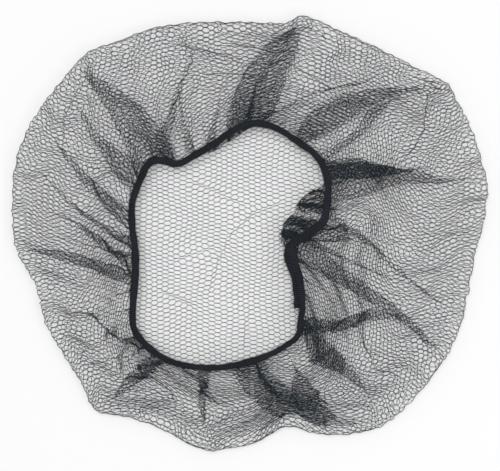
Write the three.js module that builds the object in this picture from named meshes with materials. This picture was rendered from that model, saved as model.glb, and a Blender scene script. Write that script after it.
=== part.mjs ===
// A hairnet lying on its crown, with its elastic edge up: one round bag of net, pleated onto a narrow elastic band.
// Millimetres. +Z is up, X runs along the longer side of the footprint and Y along the shorter one.
// The origin is the middle of the footprint, on the surface that the crown lies on.

import * as THREE from "three";

// Footprint of the bag as it lies, measured to its outer fold
const capLength = 300;
const capBreadth = 273.5;

// The net cloth, and the air kept between two layers of it that lie folded on each other
const netWall = 1;
const layerGap = 0.6;

// Heights of the cloth's middle: where it has turned over at the outer fold, and where it meets the band
const foldHeight = 8.5;
const edgeHeight = 13.5;
const puffHeight = 3;

// How far the outer fold bulges past the flat crown
const foldBulge = 5;

// The elastic band: a flat knitted strip, sewn into a loop with its two ends lapped
const bandWidth = 4.8;
const bandThickness = 1.7;
const lapLength = 34;
const lapRamp = 12;
const lapShift = 1.6;
const bandClearance = 0.4;

// The seam: the net runs on under the band by this much to each side of its line. At most tuckReach more of it
// hangs loose inside the loop, drooping by this share of its reach.
const hemWidth = 1.2;
const tuckReach = 20;
const tuckDroopShare = 0.22;

// Sections of the bag, counterclockwise. at is the angle of the section's foot on the outer fold, in degrees.
// rimX, rimY: the outer fold. bandX, bandY: the band. All four are shares of half the length or half the breadth.
// lift is a share of edgeHeight, spread of bandWidth, and tuck of tuckReach.
const sections = [
  { at: 0, rimX: 0.978, rimY: 0.0, bandX: 0.32, bandY: 0.11, lift: 1.06, spread: 1.1, tuck: 0.87 },
  { at: 6, rimX: 0.994, rimY: 0.11, bandX: 0.325, bandY: 0.166, lift: 1.06, spread: 1.1, tuck: 0.66 },
  { at: 12, rimX: 1.0, rimY: 0.23, bandX: 0.326, bandY: 0.224, lift: 1.05, spread: 1.1, tuck: 0.12 },
  { at: 24, rimX: 0.94, rimY: 0.46, bandX: 0.305, bandY: 0.307, lift: 1.0, spread: 1.0, tuck: 0.0 },
  { at: 33, rimX: 0.87, rimY: 0.61, bandX: 0.263, bandY: 0.367, lift: 0.97, spread: 1.0, tuck: 0.0 },
  { at: 39, rimX: 0.83, rimY: 0.69, bandX: 0.225, bandY: 0.395, lift: 0.96, spread: 1.0, tuck: 0.0 },
  { at: 45, rimX: 0.7, rimY: 0.76, bandX: 0.196, bandY: 0.418, lift: 0.97, spread: 1.0, tuck: 0.0 },
  { at: 54, rimX: 0.56, rimY: 0.84, bandX: 0.145, bandY: 0.455, lift: 1.0, spread: 0.95, tuck: 0.0 },
  { at: 66, rimX: 0.38, rimY: 0.93, bandX: 0.095, bandY: 0.483, lift: 1.03, spread: 0.95, tuck: 0.0 },
  { at: 75, rimX: 0.23, rimY: 1.0, bandX: 0.053, bandY: 0.494, lift: 1.05, spread: 1.0, tuck: 0.02 },
  { at: 80, rimX: 0.15, rimY: 0.965, bandX: 0.01, bandY: 0.497, lift: 1.05, spread: 1.0, tuck: 0.1 },
  { at: 90, rimX: 0.0, rimY: 0.97, bandX: -0.057, bandY: 0.473, lift: 1.03, spread: 1.0, tuck: 0.22 },
  { at: 102, rimX: -0.19, rimY: 0.97, bandX: -0.15, bandY: 0.404, lift: 1.0, spread: 1.0, tuck: 0.2 },
  { at: 114, rimX: -0.38, rimY: 0.95, bandX: -0.234, bandY: 0.349, lift: 0.97, spread: 1.0, tuck: 0.06 },
  { at: 124, rimX: -0.55, rimY: 0.885, bandX: -0.301, bandY: 0.312, lift: 0.96, spread: 0.95, tuck: 0.08 },
  { at: 132, rimX: -0.68, rimY: 0.83, bandX: -0.36, bandY: 0.33, lift: 0.98, spread: 1.0, tuck: 0.14 },
  { at: 138, rimX: -0.76, rimY: 0.74, bandX: -0.419, bandY: 0.316, lift: 1.0, spread: 1.0, tuck: 0.02 },
  { at: 150, rimX: -0.89, rimY: 0.56, bandX: -0.457, bandY: 0.238, lift: 1.0, spread: 1.05, tuck: 0.0 },
  { at: 162, rimX: -0.98, rimY: 0.35, bandX: -0.49, bandY: 0.136, lift: 0.98, spread: 1.0, tuck: 0.0 },
  { at: 174, rimX: -1.0, rimY: 0.11, bandX: -0.49, bandY: 0.02, lift: 0.97, spread: 1.0, tuck: 0.0 },
  { at: 184, rimX: -0.985, rimY: -0.07, bandX: -0.478, bandY: -0.08, lift: 0.97, spread: 1.05, tuck: 0.0 },
  { at: 194, rimX: -0.9, rimY: -0.25, bandX: -0.478, bandY: -0.196, lift: 0.98, spread: 1.1, tuck: 0.0 },
  { at: 204, rimX: -0.862, rimY: -0.415, bandX: -0.486, bandY: -0.32, lift: 1.0, spread: 1.0, tuck: 0.0 },
  { at: 214, rimX: -0.78, rimY: -0.575, bandX: -0.486, bandY: -0.427, lift: 1.02, spread: 0.95, tuck: 0.0 },
  { at: 222, rimX: -0.705, rimY: -0.7, bandX: -0.453, bandY: -0.492, lift: 1.03, spread: 0.95, tuck: 0.0 },
  { at: 229, rimX: -0.65, rimY: -0.82, bandX: -0.394, bandY: -0.552, lift: 1.03, spread: 1.0, tuck: 0.0 },
  { at: 237, rimX: -0.51, rimY: -0.855, bandX: -0.326, bandY: -0.594, lift: 1.0, spread: 0.95, tuck: 0.0 },
  { at: 246, rimX: -0.37, rimY: -0.91, bandX: -0.25, bandY: -0.614, lift: 0.98, spread: 0.9, tuck: 0.0 },
  { at: 256, rimX: -0.21, rimY: -1.0, bandX: -0.166, bandY: -0.621, lift: 0.97, spread: 0.9, tuck: 0.0 },
  { at: 264, rimX: -0.1, rimY: -1.0, bandX: -0.099, bandY: -0.617, lift: 0.97, spread: 0.95, tuck: 0.0 },
  { at: 272, rimX: 0.03, rimY: -0.97, bandX: -0.023, bandY: -0.6, lift: 0.98, spread: 1.0, tuck: 0.0 },
  { at: 281, rimX: 0.16, rimY: -0.9, bandX: 0.053, bandY: -0.575, lift: 1.0, spread: 1.0, tuck: 0.0 },
  { at: 290, rimX: 0.31, rimY: -0.935, bandX: 0.137, bandY: -0.529, lift: 1.02, spread: 0.8, tuck: 0.0 },
  { at: 300, rimX: 0.49, rimY: -0.92, bandX: 0.204, bandY: -0.469, lift: 1.02, spread: 0.85, tuck: 0.0 },
  { at: 308, rimX: 0.6, rimY: -0.86, bandX: 0.208, bandY: -0.381, lift: 1.0, spread: 0.95, tuck: 0.0 },
  { at: 318, rimX: 0.73, rimY: -0.72, bandX: 0.208, bandY: -0.298, lift: 1.0, spread: 1.0, tuck: 0.02 },
  { at: 328, rimX: 0.83, rimY: -0.57, bandX: 0.196, bandY: -0.2, lift: 1.02, spread: 1.05, tuck: 0.06 },
  { at: 336, rimX: 0.89, rimY: -0.43, bandX: 0.17, bandY: -0.109, lift: 1.05, spread: 1.2, tuck: 0.19 },
  { at: 343, rimX: 0.915, rimY: -0.3, bandX: 0.2, bandY: -0.048, lift: 1.08, spread: 1.45, tuck: 0.48 },
  { at: 350, rimX: 0.935, rimY: -0.19, bandX: 0.259, bandY: 0.002, lift: 1.09, spread: 1.45, tuck: 0.87 },
  { at: 356, rimX: 0.955, rimY: -0.075, bandX: 0.308, bandY: 0.05, lift: 1.08, spread: 1.2, tuck: 1.0 },
];

// Pleats, each an S of three layers. at and half are degrees: its middle, and half the stretch of cloth that it takes up.
// outer, middle and inner say how far the layers overlap near the outer fold, halfway and at the band,
// as shares of half its stretch.
const pleats = [
  { at: 12, half: 9, outer: 0.15, middle: 0.6, inner: 0.7 },
  { at: 41, half: 8.5, outer: 0.3, middle: 0.55, inner: 0.55 },
  { at: 78, half: 11.5, outer: 0.45, middle: 0.66, inner: 0.6 },
  { at: 112, half: 6, outer: 0.12, middle: 0.2, inner: 0.3 },
  { at: 134, half: 9.5, outer: 0.15, middle: 0.55, inner: 0.62 },
  { at: 153, half: 7, outer: 0.12, middle: 0.22, inner: 0.5 },
  { at: 169, half: 7, outer: 0.12, middle: 0.18, inner: 0.4 },
  { at: 190, half: 9, outer: 0.14, middle: 0.4, inner: 0.55 },
  { at: 212, half: 7, outer: 0.12, middle: 0.16, inner: 0.45 },
  { at: 230, half: 8, outer: 0.14, middle: 0.35, inner: 0.6 },
  { at: 256, half: 6, outer: 0.13, middle: 0.2, inner: 0.4 },
  { at: 275, half: 10, outer: 0.3, middle: 0.66, inner: 0.66 },
  { at: 295, half: 8, outer: 0.4, middle: 0.5, inner: 0.4 },
  { at: 314, half: 8, outer: 0.14, middle: 0.4, inner: 0.62 },
  { at: 330, half: 7, outer: 0.2, middle: 0.4, inner: 0.4 },
];

// The S of one pleat. along is the place in the cloth, from -1 to 1, and step is where that place stands when the
// cloth has drawn up into a step, just before it turns over. From there it moves to
// edge + over * overlap + nose * noseShare, again from -1 to 1. layer counts the layers of cloth below.
const pleatShape = [
  { along: -1, step: -1, edge: -1, over: 0, nose: 0, layer: 0 },
  { along: -0.78, step: -0.42, edge: 0, over: -1, nose: -1.2, layer: 0 },
  { along: -0.4, step: -0.06, edge: 0, over: 1, nose: -1, layer: 0 },
  { along: -0.32, step: 0, edge: 0, over: 1, nose: 0, layer: 0.5 },
  { along: -0.24, step: 0, edge: 0, over: 1, nose: -1, layer: 0.85 },
  { along: 0.24, step: 0, edge: 0, over: -1, nose: 1, layer: 1.15 },
  { along: 0.32, step: 0, edge: 0, over: -1, nose: 0, layer: 1.5 },
  { along: 0.4, step: 0.06, edge: 0, over: -1, nose: 1, layer: 2 },
  { along: 0.78, step: 0.42, edge: 0, over: 1, nose: 1.2, layer: 2 },
  { along: 1, step: 1, edge: 1, over: 0, nose: 0, layer: 0 },
];
const noseShare = 0.09;
const pleatLayerCount = 2;

// Shares of the way from the outer fold to the band at which the pleats have risen, stand as steps, and lie folded
const pleatRisen = 0.08;
const pleatSteps = 0.17;
const pleatLies = 0.3;

// Stations along one section. part is where it lies, from 0 to 1, in that stretch of the cloth.
const netStations = [
  { stretch: "crown", part: 0.55 },
  { stretch: "crown", part: 1 },
  { stretch: "fold", part: 0.3 },
  { stretch: "fold", part: 0.55 },
  { stretch: "fold", part: 0.8 },
  { stretch: "collar", part: 0 },
  { stretch: "collar", part: pleatRisen },
  { stretch: "collar", part: pleatSteps },
  { stretch: "collar", part: pleatLies },
  { stretch: "collar", part: 0.5 },
  { stretch: "collar", part: 0.7 },
  { stretch: "collar", part: 0.87 },
  { stretch: "collar", part: 1 },
  { stretch: "hem", part: 0.5 },
  { stretch: "hem", part: 1 },
];

const colours = { net: 0x2a2b2e, elastic: 0x15161b };

const layerStep = netWall + layerGap;
const fullTurn = 360;
const plainColumnDegrees = 6;
const bandSteps = 88;

function mix(a, b, share) {
  return a + (b - a) * share;
}

function ease(share) {
  const s = Math.min(1, Math.max(0, share));
  return s * s * (3 - 2 * s);
}

// One column of the sections table at any angle, as a smooth closed curve through its rows
function section(column, angle) {
  const count = sections.length;
  const turned = ((angle % fullTurn) + fullTurn) % fullTurn;
  let i = count - 1;
  while (sections[i].at > turned) i--;
  const next = i + 1 < count ? sections[i + 1].at : fullTurn;
  const t = (turned - sections[i].at) / (next - sections[i].at);
  const [a, b, c, d] = [-1, 0, 1, 2].map((k) => sections[(i + k + count) % count][column]);
  return b + 0.5 * t * (c - a + t * (2 * a - 5 * b + 4 * c - d + t * (3 * (b - c) + d - a)));
}

function rimPoint(angle) {
  const x = (section("rimX", angle) * capLength) / 2;
  const y = (section("rimY", angle) * capBreadth) / 2;
  return new THREE.Vector2(x, y);
}

function bandPoint(angle) {
  const x = (section("bandX", angle) * capLength) / 2;
  const y = (section("bandY", angle) * capBreadth) / 2;
  return new THREE.Vector2(x, y);
}

// Level direction out of the band's loop, square to it
function bandOutward(angle) {
  const step = 0.5;
  const along = bandPoint(angle + step).sub(bandPoint(angle - step));
  return new THREE.Vector2(along.y, -along.x).normalize();
}

// Level direction in which the net passes under the band: square to the band, and straight on where it is tucked
function inward(angle) {
  const straight = bandPoint(angle).sub(rimPoint(angle)).normalize();
  const tucked = Math.min(1, Math.max(0, 2 * section("tuck", angle)));
  return bandOutward(angle).negate().lerp(straight, tucked).normalize();
}

function seamHeight(angle) {
  return edgeHeight * section("lift", angle);
}

// The pleat that a column of cloth lies in, with its place along it, or null between pleats
function pleatAt(angle) {
  for (const pleat of pleats) {
    const turned = ((((angle - pleat.at) % fullTurn) + fullTurn * 1.5) % fullTurn) - fullTurn / 2;
    if (Math.abs(turned) < pleat.half * 0.9999) return { pleat, along: turned / pleat.half };
  }
  return null;
}

function overlapAt(pleat, share) {
  const halfway = 0.6;
  return share < halfway
    ? mix(pleat.outer, pleat.middle, ease((share - pleatLies) / (halfway - pleatLies)))
    : mix(pleat.middle, pleat.inner, ease((share - halfway) / (1 - halfway)));
}

// Where a column of cloth lies at this share of the way from the outer fold to the band:
// the angle that the pleating moves it to, and its height against the plain collar
function pleated(angle, share) {
  const found = pleatAt(angle);
  if (!found) return { angle, rise: 0 };
  const { pleat, along } = found;
  let i = 1;
  while (i < pleatShape.length - 1 && pleatShape[i].along < along) i++;
  const [low, high] = [pleatShape[i - 1], pleatShape[i]];
  const t = (along - low.along) / (high.along - low.along);
  const overlap = overlapAt(pleat, share);
  const lying = (row) => row.edge + row.over * overlap + row.nose * noseShare;
  const stepped = mix(low.step, high.step, t);
  const place = share < pleatSteps
    ? mix(along, stepped, ease((share - pleatRisen / 2) / (pleatSteps - pleatRisen / 2)))
    : mix(stepped, mix(lying(low), lying(high), t), ease((share - pleatSteps) / (pleatLies - pleatSteps)));
  const sunk = pleatLayerCount * mix(0.5, 1, ease((share - 0.6) / 0.4));
  const inside = Math.min(1, (1 - Math.abs(along)) / 0.22);
  return {
    angle: pleat.at + pleat.half * place,
    rise: layerStep * ease(share / pleatRisen) * (mix(low.layer, high.layer, t) - sunk * inside),
  };
}

// Middle of the cloth at this column and station
function netPoint(angle, stretch, part) {
  const rim = rimPoint(angle);
  const flat = rim.clone().multiplyScalar(1 - foldBulge / rim.length());
  if (stretch === "crown") return new THREE.Vector3(flat.x * part, flat.y * part, netWall / 2);
  if (stretch === "fold") {
    const turn = Math.PI * part;
    const out = flat.clone().addScaledVector(rim.clone().normalize(), (foldBulge - netWall / 2) * Math.sin(turn));
    const height = mix(netWall / 2, foldHeight, (1 - Math.cos(turn)) / 2);
    return new THREE.Vector3(out.x, out.y, height);
  }
  if (stretch === "collar") {
    const { angle: moved, rise } = pleated(angle, part);
    const outer = rimPoint(moved);
    outer.multiplyScalar(1 - foldBulge / outer.length());
    const inner = bandPoint(moved).addScaledVector(inward(moved), -hemWidth);
    const spot = outer.lerp(inner, part);
    const height = mix(foldHeight, seamHeight(moved), ease(part));
    return new THREE.Vector3(spot.x, spot.y, height + puffHeight * Math.sin(Math.PI * part) ** 2 + rise);
  }
  const { angle: moved, rise } = pleated(angle, 1);
  const reach = 2 * hemWidth + Math.max(0, section("tuck", moved)) * tuckReach;
  const spot = bandPoint(moved).addScaledVector(inward(moved), reach * part - hemWidth);
  const height = seamHeight(moved) - tuckDroopShare * reach * part * part;
  return new THREE.Vector3(spot.x, spot.y, height + rise);
}

// Columns of cloth: the corners of every pleat, and plain columns between pleats
function netColumns() {
  const angles = pleats.flatMap((pleat) => pleatShape.map((row) => pleat.at + row.along * pleat.half));
  angles.sort((a, b) => a - b);
  const columns = [];
  angles.forEach((angle, i) => {
    const next = i + 1 < angles.length ? angles[i + 1] : angles[0] + fullTurn;
    const pieces = pleatAt((angle + next) / 2) ? 1 : Math.ceil((next - angle) / plainColumnDegrees);
    for (let k = 0; k < pieces; k++) columns.push(mix(angle, next, k / pieces));
  });
  return columns;
}

function solidFrom(points, faces) {
  const geometry = new THREE.BufferGeometry();
  geometry.setAttribute("position", new THREE.Float32BufferAttribute(points.flatMap((p) => [p.x, p.y, p.z]), 3));
  geometry.setIndex(faces);
  geometry.computeVertexNormals();
  return geometry;
}

// The cloth as a closed wall: the outer side is built first, then the inner side, then the strip that joins them
function netGeometry() {
  const columns = netColumns();
  const grid = netStations.map(({ stretch, part }) => columns.map((angle) => netPoint(angle, stretch, part)));
  const crownMiddle = new THREE.Vector3(0, 0, netWall / 2);
  const count = columns.length;
  const outward = grid.map((row, j) =>
    row.map((point, i) => {
      if (j === 0) return new THREE.Vector3(0, 0, -1);
      const along = row[(i + 1) % count].clone().sub(row[(i + count - 1) % count]);
      const up = grid[Math.min(j + 1, grid.length - 1)][i].clone().sub(grid[j - 1][i]);
      return along.cross(up).normalize();
    }),
  );
  outward[1] = outward[1].map(() => new THREE.Vector3(0, 0, -1));
  const side = (sign) => grid.map((row, j) =>
    row.map((point, i) => point.clone().addScaledVector(outward[j][i], (sign * netWall) / 2)),
  );
  const middle = (sign) => crownMiddle.clone().setZ(netWall / 2 - (sign * netWall) / 2);
  const points = [middle(1), ...side(1).flat(), middle(-1), ...side(-1).flat()];
  const perSide = 1 + grid.length * count;
  const at = (inner, j, i) => inner * perSide + 1 + j * count + (i % count);
  const faces = [];
  for (let i = 0; i < count; i++) {
    faces.push(0, at(0, 0, i + 1), at(0, 0, i));
    faces.push(perSide, at(1, 0, i), at(1, 0, i + 1));
    for (let j = 0; j + 1 < grid.length; j++) {
      faces.push(at(0, j, i), at(0, j, i + 1), at(0, j + 1, i + 1), at(0, j, i), at(0, j + 1, i + 1), at(0, j + 1, i));
      faces.push(at(1, j, i), at(1, j + 1, i + 1), at(1, j, i + 1), at(1, j, i), at(1, j + 1, i), at(1, j + 1, i + 1));
    }
    const last = grid.length - 1;
    faces.push(at(0, last, i), at(0, last, i + 1), at(1, last, i + 1), at(0, last, i), at(1, last, i + 1), at(1, last, i));
  }
  return solidFrom(points, faces);
}

// The band's line, by distance along the loop: where it starts its lap, once round, and over its own start again
function bandLine() {
  const lapStart = 306;
  const fine = 1440;
  const loop = Array.from({ length: fine + 1 }, (_, i) => lapStart + (i * fullTurn) / fine);
  const lengths = [0];
  for (let i = 1; i <= fine; i++) {
    lengths.push(lengths[i - 1] + bandPoint(loop[i]).distanceTo(bandPoint(loop[i - 1])));
  }
  const round = lengths[fine];
  const angleAt = (distance) => {
    const once = distance % round;
    let i = 1;
    while (i < fine && lengths[i] < once) i++;
    return mix(loop[i - 1], loop[i], (once - lengths[i - 1]) / (lengths[i] - lengths[i - 1]));
  };
  const whole = round + lapLength;
  return Array.from({ length: bandSteps + 1 }, (_, i) => {
    const distance = (whole * i) / bandSteps;
    const over = ease((distance - (round - lapRamp)) / lapRamp);
    return { angle: angleAt(distance), over };
  });
}

// The band as a strip with a six-sided section, closed at both ends
function bandGeometry() {
  const halfWidth = bandWidth / 2;
  const halfThick = bandThickness / 2;
  const outline = [
    { across: 1, up: 0 }, { across: 0.7, up: 1 }, { across: -0.7, up: 1 },
    { across: -1, up: 0 }, { across: -0.7, up: -1 }, { across: 0.7, up: -1 },
  ];
  const line = bandLine();
  const sides = outline.length;
  const points = line.flatMap(({ angle, over }) => {
    const out = bandOutward(angle);
    const spot = bandPoint(angle).addScaledVector(out, lapShift * over);
    const rise = netWall / 2 + bandClearance + halfThick + over * (bandThickness + bandClearance);
    const wide = halfWidth * section("spread", angle);
    return outline.map(({ across, up }) => new THREE.Vector3(
      spot.x + out.x * wide * across,
      spot.y + out.y * wide * across,
      seamHeight(angle) + rise + halfThick * up,
    ));
  });
  const faces = [];
  for (let j = 0; j < line.length - 1; j++) {
    for (let i = 0; i < sides; i++) {
      const [a, b] = [j * sides + i, j * sides + ((i + 1) % sides)];
      faces.push(a, a + sides, b + sides, a, b + sides, b);
    }
  }
  const last = (line.length - 1) * sides;
  for (let i = 1; i < sides - 1; i++) faces.push(0, i, i + 1, last, last + i + 1, last + i);
  return solidFrom(points, faces);
}

function piece(name, geometry, colour, roughness) {
  const material = new THREE.MeshStandardMaterial({ color: colour, roughness, metalness: 0 });
  const mesh = new THREE.Mesh(geometry, material);
  mesh.name = name;
  return mesh;
}

const hairnet = new THREE.Group();
hairnet.add(piece("net_cap", netGeometry(), colours.net, 0.8));
hairnet.add(piece("elastic_band", bandGeometry(), colours.elastic, 0.85));

// The tables are drawn to the outer fold, so the footprint's middle is set on the origin last
const footprint = new THREE.Box3().setFromObject(hairnet);
const middle = footprint.getCenter(new THREE.Vector3());
for (const mesh of hairnet.children) mesh.geometry.translate(-middle.x, -middle.y, 0);

export default hairnet;
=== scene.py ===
"""A hairnet that lies on its crown with the opening up: honeycomb net of fine yarn, gathered in flat pleats
onto a narrow knitted elastic band with lapped ends. Lengths are metres, and angles are degrees."""

import bpy
import numpy as np
from bpy.props import FloatProperty, FloatVectorProperty, IntProperty, PointerProperty
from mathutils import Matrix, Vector


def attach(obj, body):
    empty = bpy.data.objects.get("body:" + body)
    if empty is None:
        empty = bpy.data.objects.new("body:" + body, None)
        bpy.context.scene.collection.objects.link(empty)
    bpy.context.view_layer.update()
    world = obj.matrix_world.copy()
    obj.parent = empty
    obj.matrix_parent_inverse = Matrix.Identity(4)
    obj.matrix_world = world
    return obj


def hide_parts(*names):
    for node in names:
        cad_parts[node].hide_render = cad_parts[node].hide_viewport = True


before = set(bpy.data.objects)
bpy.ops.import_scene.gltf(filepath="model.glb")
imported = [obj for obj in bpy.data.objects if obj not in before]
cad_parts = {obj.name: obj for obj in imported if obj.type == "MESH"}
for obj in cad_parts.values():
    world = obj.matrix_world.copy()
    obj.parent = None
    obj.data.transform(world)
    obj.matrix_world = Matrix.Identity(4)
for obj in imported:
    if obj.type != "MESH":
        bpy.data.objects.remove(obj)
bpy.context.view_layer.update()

bl_info = {
    "name": "Pleated Hairnet",
    "version": (1, 0, 0),
    "blender": (4, 5, 0),
    "location": "View3D > Sidebar > Hairnet",
    "description": "Builds a honeycomb hairnet that lies on its crown, with its elastic band and a stage",
    "category": "Add Mesh",
}

FULL_TURN = 360.0

# Sections of the bag, counterclockwise. at is the angle of a section's foot on the outer fold. rim and band
# are places on the fold and on the band, as shares of half the length and half the breadth. lift, spread and
# tuck are shares of the band's height, of its width and of the longest tuck.
SECTION_COLUMNS = ("at", "rim_x", "rim_y", "band_x", "band_y", "lift", "spread", "tuck")
SECTION_ROWS = (
    (0, 0.978, 0, 0.32, 0.11, 1.06, 1.1, 0.87),
    (6, 0.994, 0.11, 0.325, 0.166, 1.06, 1.1, 0.66),
    (12, 1, 0.23, 0.326, 0.224, 1.05, 1.1, 0.12),
    (24, 0.94, 0.46, 0.305, 0.307, 1, 1, 0),
    (33, 0.87, 0.61, 0.263, 0.367, 0.97, 1, 0),
    (39, 0.83, 0.69, 0.225, 0.395, 0.96, 1, 0),
    (45, 0.7, 0.76, 0.196, 0.418, 0.97, 1, 0),
    (54, 0.56, 0.84, 0.145, 0.455, 1, 0.95, 0),
    (66, 0.38, 0.93, 0.095, 0.483, 1.03, 0.95, 0),
    (75, 0.23, 1, 0.053, 0.494, 1.05, 1, 0.02),
    (80, 0.15, 0.965, 0.01, 0.497, 1.05, 1, 0.1),
    (90, 0, 0.97, -0.057, 0.473, 1.03, 1, 0.22),
    (102, -0.19, 0.97, -0.15, 0.404, 1, 1, 0.2),
    (114, -0.38, 0.95, -0.234, 0.349, 0.97, 1, 0.06),
    (124, -0.55, 0.885, -0.301, 0.312, 0.96, 0.95, 0.08),
    (132, -0.68, 0.83, -0.36, 0.33, 0.98, 1, 0.14),
    (138, -0.76, 0.74, -0.419, 0.316, 1, 1, 0.02),
    (150, -0.89, 0.56, -0.457, 0.238, 1, 1.05, 0),
    (162, -0.98, 0.35, -0.49, 0.136, 0.98, 1, 0),
    (174, -1, 0.11, -0.49, 0.02, 0.97, 1, 0),
    (184, -0.985, -0.07, -0.478, -0.08, 0.97, 1.05, 0),
    (194, -0.9, -0.25, -0.478, -0.196, 0.98, 1.1, 0),
    (204, -0.862, -0.415, -0.486, -0.32, 1, 1, 0),
    (214, -0.78, -0.575, -0.486, -0.427, 1.02, 0.95, 0),
    (222, -0.705, -0.7, -0.453, -0.492, 1.03, 0.95, 0),
    (229, -0.65, -0.82, -0.394, -0.552, 1.03, 1, 0),
    (237, -0.51, -0.855, -0.326, -0.594, 1, 0.95, 0),
    (246, -0.37, -0.91, -0.25, -0.614, 0.98, 0.9, 0),
    (256, -0.21, -1, -0.166, -0.621, 0.97, 0.9, 0),
    (264, -0.1, -1, -0.099, -0.617, 0.97, 0.95, 0),
    (272, 0.03, -0.97, -0.023, -0.6, 0.98, 1, 0),
    (281, 0.16, -0.9, 0.053, -0.575, 1, 1, 0),
    (290, 0.31, -0.935, 0.137, -0.529, 1.02, 0.8, 0),
    (300, 0.49, -0.92, 0.204, -0.469, 1.02, 0.85, 0),
    (308, 0.6, -0.86, 0.208, -0.381, 1, 0.95, 0),
    (318, 0.73, -0.72, 0.208, -0.298, 1, 1, 0.02),
    (328, 0.83, -0.57, 0.196, -0.2, 1.02, 1.05, 0.06),
    (336, 0.89, -0.43, 0.17, -0.109, 1.05, 1.2, 0.19),
    (343, 0.915, -0.3, 0.2, -0.048, 1.08, 1.45, 0.48),
    (350, 0.935, -0.19, 0.259, 0.002, 1.09, 1.45, 0.87),
    (356, 0.955, -0.075, 0.308, 0.05, 1.08, 1.2, 1),
)
SECTION = dict(zip(SECTION_COLUMNS, np.array(SECTION_ROWS).T))

# Pleats, in degrees: the stretch of cloth that each takes in, from low to high, then the two edges of its
# folds at each share of the way from the outer fold to the band. Every pleat is closed at share 0.
PLEAT_SHARES = (0.0, 0.1, 0.25, 0.5, 0.75, 1.0)
PLEAT_ROWS = (
    (-5, 31, 13.5, 14, 12, 14, 11, 18.5, 6, 25.5, 3, 27),
    (4, 28, 17, 17, 17, 17, 16, 17.5, 14, 22, 14, 23),
    (16, 42, 37.6, 38.6, 27, 28, 19, 19.4, 19, 19, 19, 19),
    (24, 43, 40, 40, 40, 40, 36, 38.5, 30, 34, 25.5, 30),
    (47, 74, 51, 51, 52, 53, 57, 58.5, 63, 65, 69, 72),
    (35, 58, 41, 42, 42.5, 46.5, 42, 53, 40, 54, 38, 50),
    (65, 100, 74.5, 84.5, 72.5, 87, 72.5, 91, 71, 94.5, 69, 95.5),
    (76, 92, 84, 84, 84, 84, 84, 84.6, 83, 85.2, 81, 86),
    (92, 112, 98, 98, 98, 98, 98, 98, 98.5, 100, 100, 105),
    (106, 117, 111, 111, 111, 111, 111, 111.6, 110.5, 113, 109.5, 114.5),
    (99, 132, 107, 107, 106.5, 107.5, 112.5, 115.5, 119, 122.5, 121, 125),
    (118, 148, 134.5, 137, 132, 137, 127, 138, 123, 141, 122, 145),
    (140, 160, 143, 143, 143, 144.5, 145, 148.5, 144.5, 152.5, 144, 156),
    (150, 175, 153, 153, 154.5, 156, 158, 161, 161, 166, 165, 171),
    (160, 181, 163, 163, 164.5, 165.3, 169.5, 171, 173, 175.3, 175, 178.5),
    (170, 192, 173, 173, 173, 173, 174, 176, 179, 182.5, 186, 190),
    (178, 204, 184.5, 185.5, 184.5, 187.5, 186, 190.5, 189, 194.5, 192, 199),
    (176, 192, 180, 180, 180, 180, 181.5, 182.2, 184, 185.4, 185, 187),
    (198, 226, 203, 203, 203, 203, 204.5, 206.5, 215.5, 218.5, 219, 223.5),
    (215, 226, 219, 219, 219.5, 220.3, 221, 222, 222.3, 223.3, 223, 224),
    (225, 250, 247, 247, 247, 247, 244, 245, 232.5, 234, 227, 229),
    (222, 241, 230.5, 230.5, 229.5, 231.8, 228, 233, 227.5, 234.5, 226, 235.5),
    (245, 262, 257, 257, 256, 257, 252.8, 256, 251.5, 256.5, 249.5, 257),
    (259, 288, 277.5, 282, 275.5, 283.5, 271.5, 284.5, 268.5, 283.5, 265, 283),
    (268, 287, 281, 281, 280, 280.6, 278.4, 280.4, 276.8, 279, 277, 278),
    (278, 304, 283.5, 295.5, 285, 294.7, 286.5, 292, 289.5, 290, 289.5, 289.5),
    (288, 314, 306, 306, 307, 308, 302.5, 308, 296, 305.5, 300, 304),
    (296, 333, 330, 330, 330, 330, 324, 327.5, 311, 318, 299, 309),
    (321, 347, 327.5, 329.5, 329.5, 332.5, 331, 336, 332.5, 339, 334, 342),
    (335, 364, 338.7, 339.3, 340.6, 342.4, 346.6, 348.6, 353.2, 355.6, 360, 362.5),
    (342, 362, 351, 351, 351, 351, 351, 351, 350.5, 351.5, 345.5, 355.5),
    (336, 350, 341, 341, 341, 341, 341, 342, 342, 344, 343, 347),
)
# The S of a pleat, point by point: which layer it is on, and which points lie between its two ends
PLEAT_LAYERS = np.array((0, 0, 0.5, 1, 1, 1.5, 2, 0))
PLEAT_INSIDE = np.array((0, 1, 1, 1, 1, 1, 1, 0))

# Half the width, in degrees, from which a pleat has its full rise
FULL_PLEAT = 1.5

# Length of one degree of cloth at the outer fold and at the band
DEGREE_LENGTHS = (0.0025, 0.00125)

# Number of angles and of shares in the table of slides, of shares that each is evened out over, and of rounds
# in which the turn settles
SLIDE_ANGLES = 2881
SLIDE_SHARES = 61
SLIDE_EVENED = 17
SLIDE_ROUNDS = 3

# Creases of the lying crown, each a straight stretch from x, y to x, y on the floor
CROWN_CREASES = (
    (0.02, 0.019, 0.0, 0.011),
    (0.002, 0.0125, -0.013, -0.002),
    (-0.0115, 0.001, -0.0205, -0.019),
    (-0.0195, -0.015, -0.0255, -0.037),
    (-0.048, -0.017, -0.023, -0.009),
    (-0.037, 0.033, -0.006, 0.019),
    (-0.056, -0.037, -0.036, -0.045),
    (-0.002, -0.052, -0.004, -0.072),
)

# Creases across the collar, each from an angle and a share of the way from the outer fold to the band, to
# another such place
COLLAR_CREASES = (
    (57, 0.47, 78, 0.42),
    (78, 0.42, 97, 0.13),
    (99, 0.25, 113, 0.09),
    (92, 0.55, 107, 0.38),
    (139, 0.07, 155, 0.26),
    (270, 0.42, 281, 0.2),
    (317, 0.1, 326, 0.5),
)

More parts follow.
